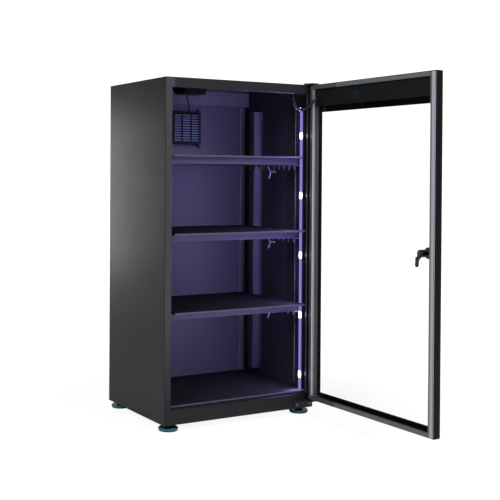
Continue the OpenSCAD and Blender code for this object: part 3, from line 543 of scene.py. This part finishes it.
teal_gloss = Finish("teal_gloss", Roughness=0.16, Specular_IOR_Level=0.6)
pad = teal_gloss.place()[2].under(PAD_Z)
swirl = teal_gloss.noise(SWIRL_SIZE)
teal_gloss.feed(Base_Color=teal_gloss.mix(pad, teal_gloss.mix(swirl, TEAL, LIGHT_TEAL), grey(0.01)),
                Roughness=0.12 + swirl * 0.08 + pad * 0.55, Coat_Weight=0.6 * (1 - pad))
teal_gloss.bump(swirl, SWIRL_DEPTH, 0.3)
wear(teal_gloss, "foot_disc_fl foot_disc_fr foot_disc_bl foot_disc_br")
print("feet are teal above", PAD_Z, "m")

# %% [markdown]
# ## Metals
# Screws and nuts are zinc plated, the lock is cast and nickel plated, and the light bar is drawn aluminium.
# Their plating is told apart by its gloss and by a slight mottle. One function serves them all: plated and
# cast parts have round lumps, and the drawn bar has the same lumps stretched along its height. The bar's
# face beside its lamps is lit by them from so near that it is given a faint glow of its own.

# %% Metals
WARM = (1.0, 0.9, 0.8)
SCRATCH_SIZE, SCRATCH_DEPTH = 0.0006, 0.00003
BAR_LUMP = 0.003
BAR_FACE_X, BAR_FACE_Y = 0.2003, -0.1455


def plated(name, colour, roughness, stretch=(1, 1, 1), lump=0.004, **constants):
    finish = Finish(name, Metallic=1.0, Roughness=roughness, **constants)
    mottle, scratches = finish.noise(lump, stretch), finish.noise(SCRATCH_SIZE, stretch)
    finish.feed(Base_Color=finish.clouded(mottle, colour, 0.78, 1.1),
                Roughness=roughness - 0.08 + mottle * 0.1 + scratches * 0.06)
    finish.bump(scratches, SCRATCH_DEPTH)
    return finish


wear(plated("zinc_plate", grey(0.42, (1.0, 0.97, 0.92)), 0.36), "foot_nuts cover_rail cam_screw")
wear(plated("screw_zinc", grey(0.11, (1.0, 0.92, 0.8)), 0.4), "panel_screws cover_screws")
wear(plated("hinge_screw_plate", grey(0.4, (1.0, 0.9, 0.78)), 0.4), "hinge_screws")
wear(plated("lock_nickel", grey(0.2, WARM), 0.34), "lock_housing lock_nut lock_plug")
wear(plated("cam_bronze", grey(0.2, WARM), 0.4), "lock_cam")

drawn_bar = plated("bar_aluminium", grey(0.3, (0.95, 0.95, 1.15)), 0.36, DRAWN, BAR_LUMP,
                   Emission_Strength=1.0)
x, y, _ = drawn_bar.place()
lit_face = x.under(BAR_FACE_X) * y.under(BAR_FACE_Y)
drawn_bar.feed(Emission_Color=drawn_bar.mix(lit_face, grey(0), (0.11, 0.09, 0.19, 1)))
wear(drawn_bar, "led_channel")
print("metals plated")

# %% [markdown]
# ## The light bar
# The bar's cover is milky, so it glows violet all along and flares white where a lamp sits behind it. One
# sum folds the height into the distance from the nearest lamp. Small glowing discs could make the flares
# too, but they would be pieces that the real bar doesn't have.

# %% Light bar
LAMP_FIRST, LAMP_PITCH, LAMPS = 0.102, 0.160, 5
SPOT_REACH, SPOT_EDGE = 0.0100, 1 / 130
FROST_SIZE, FROST_DEPTH = 0.004, 0.00005
GLOW = 14.0
VEIL, FLARE = (0.24 / GLOW, 0.21 / GLOW, 0.68 / GLOW, 1), (0.9, 0.92, 1.0, 1)

diffuser = Finish("led_diffuser", Roughness=0.35, Emission_Strength=GLOW, Specular_IOR_Level=0.1,
                  Base_Color=grey(0.03))
turns = (diffuser.place()[2] - LAMP_FIRST) / LAMP_PITCH + 0.5
nearest = abs(turns.fraction() - 0.5) * LAMP_PITCH
frost = diffuser.noise(FROST_SIZE)
diffuser.feed(Emission_Color=diffuser.mix(nearest.ramp(SPOT_REACH, -SPOT_EDGE), VEIL, FLARE),
              Roughness=0.3 + frost * 0.12)
diffuser.bump(frost, FROST_DEPTH)
wear(diffuser, "led_diffuser")
print("lamps at", [round(LAMP_FIRST + i * LAMP_PITCH, 3) for i in range(LAMPS)])

# %% [markdown]
# ## Boards and the drying block
# The circuit boards and the drying block are hidden behind covers. They get their own finishes all the
# same, because someone may open the cabinet up. Bricks make fair copper tracks, and Voronoi cells make
# beads of gel.

# %% Boards and drying block
TRACKS_PER_METRE, TRACK_DEPTH = 120.0, 0.00003
BEADS_PER_METRE, BEAD_DEPTH = 500.0, 0.0006


def board(name, mask_colour, copper):
    finish = Finish(name, Roughness=0.35, Specular_IOR_Level=0.5)
    tracks = finish.add("ShaderNodeTexBrick", {}, Vector=finish.point(), Scale=TRACKS_PER_METRE, out="Fac")
    finish.feed(Base_Color=finish.mix(tracks, mask_colour, copper), Roughness=0.32 + tracks * 0.1)
    finish.bump(tracks, TRACK_DEPTH)
    return finish


wear(board("strip_board", grey(0.7), grey(0.55, (1, 0.95, 0.8))), "led_strip")
wear(board("green_board", (0.012, 0.075, 0.035, 1), (0.03, 0.14, 0.06, 1)), "display_board")

drying_block = Finish("drying_block", Roughness=0.9)
beads = drying_block.add("ShaderNodeTexVoronoi", {}, Vector=drying_block.point(), Scale=BEADS_PER_METRE)
drying_block.feed(Base_Color=drying_block.mix(beads, grey(0.05), grey(0.02)))
drying_block.bump(1 - beads, BEAD_DEPTH)
wear(drying_block, "dryer_core")
print("boards etched")

# %% [markdown]
# ## Foam
# The mats are black foam with a dull skin. Their cut front edge shows its cells, and catches the violet
# light in them. The mat on the floor is the lightest, and beside the bar it shines. The cells are smaller
# than a pixel, so a fine noise stands for them in colour and bump.

# %% Foam
NAP_TINT, CELL_TINT, GLARE_TINT = (1.0, 0.94, 1.2), (0.85, 0.74, 1.35), (0.85, 0.9, 1.3)
CELL_SIZE, CELL_DEPTH, PATCH_SIZE = 0.0008, 0.00008, 0.05
CUT_FACING = -0.35
FLOOR_MAT_Z, FLOOR_MAT_GAIN = 0.1, 0.35
GLARE_X, GLARE_X_FADE = 0.13, 0.07
GLARE_Y, GLARE_Y_FADE = -0.11, -0.035

foam = Finish("mat_foam", Roughness=1.0, Specular_IOR_Level=0.02)
cells, patches = foam.noise(CELL_SIZE), foam.noise(PATCH_SIZE)
x, y, z = foam.place()
lowest = z.under(FLOOR_MAT_Z)
nap = foam.mix(patches, grey(0.017, NAP_TINT), grey(0.026, NAP_TINT))
nap = foam.add("ShaderNodeVectorMath", {"operation": "SCALE"}, nap, Scale=1 + lowest * FLOOR_MAT_GAIN)
glare = lowest * x.ramp(GLARE_X, GLARE_X_FADE) * y.ramp(GLARE_Y, GLARE_Y_FADE)
nap = foam.mix(glare * glare, nap, grey(0.75, GLARE_TINT))
cut = foam.mix(cells, violet(0.03), grey(0.36, CELL_TINT))
foam.feed(Base_Color=foam.mix(foam.facing()[1].under(CUT_FACING), nap, cut), Roughness=0.86 + cells * 0.14)
foam.bump(cells, CELL_DEPTH)
print("foam ready")

# %% [markdown]
# ## Soft mats
# Every shelf carries a thin foam mat, and so does the floor. A mat is a slab with rounded edges that sags
# by a fraction of a millimetre between the places where it is held up. It is built as two sheets of points,
# fine near the edges and coarse in the middle, joined round the rim. The top sheet follows a quarter circle
# at the edge.

# %% Mats
EDGE, FLOOR_EDGE = 0.0021, 0.0018
EDGE_STEPS, MIDDLE_STEPS = 6, 26
UNDER_EDGE_SHARE = 0.8
SAG, SAG_FROM_RIM = 0.00035, 0.02
# Waves per metre times two pi, along X and Y, and how high the short ones are beside the long ones.
LONG_WAVES, SHORT_WAVES, SHORT_SHARE = (31, 23), (71, 53), 0.6
PHASE_STEP = 1.7


def mesh_piece(name, points, faces, material, smooth=True):
    mesh = bpy.data.meshes.new(name)
    mesh.from_pydata([tuple(p) for p in points], [], faces)
    mesh.update()
    if smooth:
        mesh.shade_smooth()
    mesh.materials.append(material)
    piece = bpy.data.objects.new(name, mesh)
    bpy.context.scene.collection.objects.link(piece)
    return piece


def stations(length, edge):
    """Places along a side: dense in the rounded edge, even in between."""
    near = [edge * (1 - math.cos(a)) for a in np.linspace(0, math.pi / 2, EDGE_STEPS)]
    between = list(np.linspace(edge, length - edge, MIDDLE_STEPS))[1:-1]
    return np.array(near + between + [length - n for n in reversed(near)])


def edge_drop(distance, edge):
    inside = np.clip(edge - distance, 0, edge)
    return edge - np.sqrt(edge ** 2 - inside ** 2)


def mat(name, node, body, edge=EDGE, phase=0.0):
    low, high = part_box(node)
    xs, ys = stations(high.x - low.x, edge), stations(high.y - low.y, edge)
    gx, gy = np.meshgrid(xs, ys, indexing="ij")
    rim = np.minimum(np.minimum(gx, xs[-1] - gx), np.minimum(gy, ys[-1] - gy))
    long_ripple = np.sin(gx * LONG_WAVES[0] + phase) * np.cos(gy * LONG_WAVES[1] - phase)
    ripple = long_ripple + SHORT_SHARE * np.sin(gx * SHORT_WAVES[0] + gy * SHORT_WAVES[1] + phase)
    sag = SAG * np.clip(rim / SAG_FROM_RIM, 0, 1) * (1 + SHORT_SHARE + ripple) / (2 + 2 * SHORT_SHARE)
    top = high.z - edge_drop(rim, edge) - sag
    bottom = low.z + edge_drop(rim, edge) * UNDER_EDGE_SHARE
    n, m = gx.shape
    points = [(low.x + a, low.y + b, c) for sheet in (top, bottom)
              for a, b, c in zip(gx.ravel(), gy.ravel(), sheet.ravel())]

    def at(i, j, sheet=0):
        return sheet * n * m + i * m + j

    squares = [(i, j) for i in range(n - 1) for j in range(m - 1)]
    faces = [(at(i, j), at(i + 1, j), at(i + 1, j + 1), at(i, j + 1)) for i, j in squares]
    faces += [(at(i, j + 1, 1), at(i + 1, j + 1, 1), at(i + 1, j, 1), at(i, j, 1)) for i, j in squares]
    loop = ([(i, 0) for i in range(n - 1)] + [(n - 1, j) for j in range(m - 1)]
            + [(i, m - 1) for i in range(n - 1, 0, -1)] + [(0, j) for j in range(m - 1, 0, -1)])
    faces += [(at(*a), at(*a, 1), at(*b, 1), at(*b)) for a, b in zip(loop, loop[1:] + loop[:1])]
    piece = mesh_piece(name, points, faces, foam.material)
    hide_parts(node)
    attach(piece, body)
    return piece


mats = [mat("base_foam", "base_mat", "body", edge=FLOOR_EDGE)]
mats += [mat(f"shelf_foam_{i}", f"shelf_mat_{i}", f"shelf_{i}", phase=PHASE_STEP * i) for i in (1, 2, 3)]
print("mats:", [m.name for m in mats])

# %% [markdown]
# ## Sweeping wires
# Two leads show. A twisted pair climbs from the dehumidifier to the box on the ceiling, and a bundle in
# spiral wrap hangs in a loop from the ceiling to the door's cover, long enough for the door to swing. Both
# follow the routes of the exact model. A sweep carries a small outline along a line, with its own two
# directions at every step, and serves the wires and the flat wrap alike. A curve object with a bevel makes
# round wires sooner, but a flat band that has to face outwards all the way round is easier from plain
# points.

# %% Sweeps
# Any direction that no wire starts along.
FIRST_SIDE = (0.37, 0.81, 0.45)


def through(points, steps=14):
    """A smooth line through the points, as a Catmull-Rom curve."""
    p = [np.array(q, float) for q in (points[0], *points, points[-1])]
    line = []
    for a, b, c, d in zip(p, p[1:], p[2:], p[3:]):
        for t in np.arange(steps) / steps:
            line.append(0.5 * (2 * b + (c - a) * t + (2 * a - 5 * b + 4 * c - d) * t ** 2
                               + (3 * b - a - 3 * c + d) * t ** 3))
    return np.array(line + [p[-1]])


def evenly(line, step):
    """The same line with points at equal distances, and those distances."""
    walked = np.r_[0, np.cumsum(np.linalg.norm(np.diff(line, axis=0), axis=1))]
    marks = np.linspace(0, walked[-1], max(2, int(walked[-1] / step)))
    return np.array([np.interp(marks, walked, line[:, k]) for k in range(3)]).T, marks


def frames(line):
    """Two directions across a line that turn with it and never flip."""
    ahead = np.gradient(line, axis=0)
    ahead /= np.linalg.norm(ahead, axis=1)[:, None]
    side = np.cross(ahead[0], FIRST_SIDE)
    sides = []
    for t in ahead:
        side = side - t * side.dot(t)
        side = side / np.linalg.norm(side)
        sides.append(side)
    sides = np.array(sides)
    return sides, np.cross(ahead, sides)


def sweep(name, centres, across, up, half_w, half_h, material, sides=10, squareness=2.0):
    def flat(v):
        return np.sign(v) * np.abs(v) ** (2 / squareness)

    angles = 2 * math.pi * np.arange(sides) / sides
    outline = [(half_w * flat(math.cos(a)), half_h * flat(math.sin(a))) for a in angles]
    points = [c + a * x + u * y for c, a, u in zip(centres, across, up) for x, y in outline]
    n = len(centres)
    faces = [(i + k, i + (k + 1) % sides, i + sides + (k + 1) % sides, i + sides + k)
             for i in range(0, (n - 1) * sides, sides) for k in range(sides)]
    faces += [tuple(range(sides - 1, -1, -1)), tuple((n - 1) * sides + k for k in range(sides))]
    return mesh_piece(name, points, faces, material)


def helix(line, marks, radius, pitch, start=0.0):
    """A line wound round another, with the directions that point across it and outwards."""
    a, b = frames(line)
    turn = 2 * math.pi * marks / pitch + start
    out = a * np.cos(turn)[:, None] + b * np.sin(turn)[:, None]
    wound = line + out * radius
    ahead = np.gradient(wound, axis=0)
    ahead /= np.linalg.norm(ahead, axis=1)[:, None]
    return wound, np.cross(ahead, out), out


print("sweeps ready")

# %% [markdown]
# ## The twisted pair
# The dehumidifier's lead is two insulated strands twisted round each other. Two helices on one middle line,
# half a turn apart, run side by side all the way with a hair of air between them, so they never cut into
# each other.

# %% Twisted pair
TOP, BACK, UNIT_TOP = 0.877, 0.160, 0.815
STRAND_RADIUS, TWIST_RADIUS, TWIST_PITCH, STRAND_STEP = 0.00105, 0.0011, 0.015, 0.0008

lead_line = [(0.015, BACK - 0.017, UNIT_TOP - 0.002), (0.015, BACK - 0.017, UNIT_TOP + 0.001)]
lead_line += [(x, BACK + y, TOP + z) for x, y, z in
              ((0.012, -0.021, -0.043), (0.004, -0.029, -0.031), (-0.004, -0.038, -0.024),
               (-0.00667, -0.04156, -0.020), (-0.007, -0.042, -0.017))]
line, marks = evenly(through(lead_line), STRAND_STEP)
for number, start in ((1, 0.0), (2, math.pi)):
    wound, across, out = helix(line, marks, TWIST_RADIUS, TWIST_PITCH, start)
    wire = sweep(f"lead_wire_{number}", wound, across, out, STRAND_RADIUS, STRAND_RADIUS,
                 cable_sheath.material)
    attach(wire, "body")
    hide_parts("unit_lead")
print("twisted pair is", round(float(marks[-1]), 3), "m long")

# %% [markdown]
# ## The door's loom
# The bundle to the door is a round core in a flat spiral wrap. It hangs from body to door, so it can't ride
# on either: both of its pieces stay in place, fixed to neither.

# %% Door loom
CORNER = (0.225, -0.160, TOP)
LOOM_STEP, CORE_RADIUS = 0.0011, 0.0031
WRAP_RADIUS, WRAP_PITCH, WRAP_HALF_WIDTH, WRAP_HALF_THICK = 0.0035, 0.0085, 0.0027, 0.00045

loom_line = [tuple(c + o for c, o in zip(CORNER, offset)) for offset in
             ((-0.0535, 0.022, -0.0072), (-0.05333, 0.02161, -0.025), (-0.052, 0.0185, -0.045),
              (-0.0475, 0.013, -0.060), (-0.0405, 0.005, -0.0665), (-0.0345, -0.005, -0.0655),
              (-0.030, -0.016, -0.0595), (-0.027, -0.025, -0.0525), (-0.0236, -0.0323, -0.0444),
              (-0.0176, -0.0363, -0.041))]
line, marks = evenly(through(loom_line), LOOM_STEP)
core = sweep("loom_core", line, *frames(line), CORE_RADIUS, CORE_RADIUS, cable_sheath.material, sides=12)
# The wrap is black; its violet grey is painted sheen from the bar's light.
wrap_plastic = moulded("wrap_plastic", violet(0.035), 0.2)
wrap = sweep("loom_wrap", *helix(line, marks, WRAP_RADIUS, WRAP_PITCH), WRAP_HALF_WIDTH, WRAP_HALF_THICK,
             wrap_plastic.material, sides=8, squareness=5.0)
for piece in (core, wrap):
    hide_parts("door_loom")
    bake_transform(piece)
print("loom is", round(float(marks[-1]), 3), "m long")

# %% [markdown]
# ## The studio floor
# The cabinet stands on a white sweep. The floor is really lit, so that it keeps the soft shadow, but most
# of what the camera sees of it is a plain white glow, and all of it further out. So it melts into the
# background. Only camera rays see the glow, and the cabinet gets no light from it.

# %% Floor
WHITE = (1, 1, 1, 1)
FLOOR_HALF, FLOOR_GLOW = 14.0, 1.2
GLOW_NEAR = 0.76
GLOW_FADE_FROM, GLOW_FADE = 0.45, 0.5


def bright(tree, kind, strength):
    """A white emission or background node."""
    node = tree.nodes.new(kind)
    node.inputs["Color"].default_value = WHITE
    node.inputs["Strength"].default_value = strength
    return node.outputs[0]


def crossfade(tree, factor, first, second, end):
    """Feeds the end with the first shader where the factor is 0 and the second where it is 1."""
    both = tree.nodes.new("ShaderNodeMixShader")
    for socket, source in zip(both.inputs, (factor, first, second)):
        tree.links.new(source, socket)
    tree.links.new(both.outputs[0], end)


floor_white = Finish("floor_white", Roughness=0.9, Base_Color=grey(0.93), Specular_IOR_Level=0.1)
x, y, _ = floor_white.place()
fade = (x * x + y * y).root().ramp(GLOW_FADE_FROM, GLOW_FADE)
seen = floor_white.add("ShaderNodeLightPath", {}, out="Is Camera Ray") * (GLOW_NEAR + fade * (1 - GLOW_NEAR))
tree = floor_white.tree
crossfade(tree, seen.socket, floor_white.shader.outputs[0], bright(tree, "ShaderNodeEmission", FLOOR_GLOW),
          tree.nodes["Material Output"].inputs["Surface"])
corners = [(-FLOOR_HALF, -FLOOR_HALF, 0), (FLOOR_HALF, -FLOOR_HALF, 0), (FLOOR_HALF, FLOOR_HALF, 0),
           (-FLOOR_HALF, FLOOR_HALF, 0)]
floor = mesh_piece("studio_floor", corners, [(0, 1, 2, 3)], floor_white.material, smooth=False)
print("floor laid")

# %% [markdown]
# ## The white world
# The world is white to the camera and through the glass, but lights the object with a plainer grey. A white
# world that also lit the cabinet would wash its black coat out.

# %% World
SHOWN, LIGHTING = 1.15, 0.22

world = bpy.data.worlds.new("studio")
bpy.context.scene.world = world
world.use_nodes = True
tree = world.node_tree
tree.nodes.clear()
rays = tree.nodes.new("ShaderNodeLightPath")
straight = tree.nodes.new("ShaderNodeMath")
straight.operation = "MAXIMUM"
tree.links.new(rays.outputs["Is Camera Ray"], straight.inputs[0])
tree.links.new(rays.outputs["Is Transmission Ray"], straight.inputs[1])
crossfade(tree, straight.outputs[0], bright(tree, "ShaderNodeBackground", LIGHTING),
          bright(tree, "ShaderNodeBackground", SHOWN),
          tree.nodes.new("ShaderNodeOutputWorld").inputs["Surface"])
print("world shows", SHOWN, "and lights with", LIGHTING)

# %% [markdown]
# ## Lamps
# A large soft lamp models the left side, another the front, and a narrow one far behind on the left draws
# the light streak on the side panel. The light bar's glow alone would light the inside with much noise, so
# four small violet lamps along it do that, and a spark at each of its own lamps picks out what stands close
# by.

# %% Lamps
BAR_GLOW, SPARK_GLOW = (0.50, 0.42, 1.0), (0.62, 0.55, 1.0)
BAR_LAMP_AT, BAR_LAMP_AIM = (0.188, -0.152), (-0.669, 0.362)
BAR_LAMP_WIDTH, BAR_LAMP_HEIGHT = 0.01, 0.12
BAR_LAMPS = ((0.165, 0.26), (0.375, 0.38), (0.572, 0.38), (0.757, 0.36))
SPARK_AT, SPARK_SIZE, SPARK_POWER = (0.195, -0.1435), 0.004, 0.02


def hang(name, kind, at, power, colour):
    lamp = bpy.data.objects.new(name, bpy.data.lights.new(name, kind))
    lamp.data.energy, lamp.data.color = power, colour
    lamp.location = at
    bpy.context.scene.collection.objects.link(lamp)
    return lamp


def soft_lamp(name, at, aim, power, size, height=None, colour=(1, 1, 1)):
    """A soft disc, or a soft rectangle where a height is given."""
    lamp = hang(name, "AREA", at, power, colour)
    lamp.data.shape = "RECTANGLE" if height else "DISK"
    lamp.data.size, lamp.data.size_y = size, height or size
    lamp.rotation_euler = (Vector(aim) - Vector(at)).to_track_quat("-Z", "Y").to_euler()


soft_lamp("key", (-2.3, -1.2, 1.9), (-0.1, 0, 0.5), 24, 1.4)
soft_lamp("front", (0.6, -2.8, 2.2), (0.1, -0.2, 0.4), 26, 1.6)
soft_lamp("flank", (-1.15, 2.68, 0.53), (-0.225, 0.05, 0.5), 4.8, 0.3, 0.9)
for i, (z, power) in enumerate(BAR_LAMPS):
    soft_lamp(f"bar_{i + 1}", (*BAR_LAMP_AT, z), (*BAR_LAMP_AIM, z), power, BAR_LAMP_WIDTH, BAR_LAMP_HEIGHT,
              colour=BAR_GLOW)
for i in range(LAMPS):
    height = LAMP_FIRST + i * LAMP_PITCH
    spark = hang(f"spark_{i + 1}", "POINT", (*SPARK_AT, height), SPARK_POWER, SPARK_GLOW)
    spark.data.shadow_soft_size = SPARK_SIZE
bpy.context.scene.view_settings.view_transform = "Standard"
print("studio lit by", len(bpy.data.lights), "lamps")
